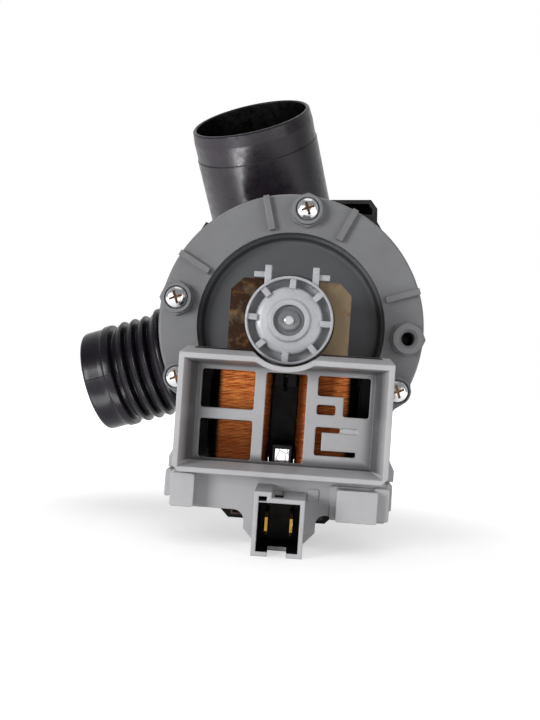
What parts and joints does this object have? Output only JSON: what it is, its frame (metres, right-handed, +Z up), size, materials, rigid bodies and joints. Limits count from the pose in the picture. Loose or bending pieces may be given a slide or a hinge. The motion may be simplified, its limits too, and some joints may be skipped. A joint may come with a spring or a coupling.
{
  "type": "drain pump",
  "caption": "Washing machine drain pump with a two-coil synchronous motor, a bent inlet tube, a side outlet with a rubber bellows and a keyed socket.",
  "frame": {"origin": "on the axis of the open fixing hole, in the plane of the round cover's front face", "axes": "-Y towards the motor end, along the rotor axis; +Z up, towards the inlet tube; +X away from the outlet"},
  "size_m": [0.1214, 0.1429, 0.1617],
  "materials": {
    "black_plastic": "moulded polypropylene, satin",
    "black_rubber": "satin rubber",
    "grey_plastic": "moulded, matt",
    "zinc": "bright zinc plate",
    "light_grey_plastic": "moulded, satin",
    "cover_grey_plastic": "moulded, satin",
    "bronze": "sintered",
    "white_plastic": "moulded",
    "lamination_steel": "stamped edges, lightly rusted",
    "copper": "enamelled wire",
    "blade_brass": "stamped",
    "steel": "ground",
    "magnet": "sintered ferrite",
    "lead_red": "varnished",
    "impeller_plastic": "moulded"
  },
  "bodies": {
    "pump": {"pump_housing": "black_plastic", "inlet_elbow": "black_plastic", "outlet_bellows": "black_rubber", "cover_seal": "black_rubber", "cover_flange": "grey_plastic", "cover_screws": "zinc", "rotor_canister": "light_grey_plastic", "canister_seal": "black_rubber", "end_plug": "steel", "front_bearing": "bronze", "bearing_boot": "black_rubber", "rear_bearing": "bronze", "bearing_holder": "white_plastic", "shaft_seal": "black_rubber", "stator_core": "lamination_steel", "bobbin_left": "black_plastic", "bobbin_right": "black_plastic", "coil_left": "copper", "coil_right": "copper", "coil_cover": "cover_grey_plastic", "contact_block": "black_plastic", "blade_left": "blade_brass", "blade_right": "blade_brass", "thermal_fuse": "steel", "fuse_holder": "black_plastic", "lead_wires": "lead_red"},
    "rotor": {"rotor_shaft": "steel", "rotor_magnet": "magnet", "magnet_carrier": "white_plastic", "thrust_washer": "white_plastic", "clutch_dog": "white_plastic", "retaining_ring": "steel"},
    "impeller_body": {"impeller": "impeller_plastic", "impeller_cap": "impeller_plastic", "clutch_damper": "black_rubber"}
  },
  "joints": [
    {"name": "rotor_spin", "type": "hinge", "parent": "pump", "child": "rotor", "pos_m": [-0.03956, 0, 0.00186], "axis": [0, -1, 0], "continuous": true},
    {"name": "impeller_play", "type": "hinge", "parent": "rotor", "child": "impeller_body", "pos_m": [-0.03956, 0.02, 0.00186], "axis": [0, -1, 0], "range_deg": [-112, 112]}
  ]
}
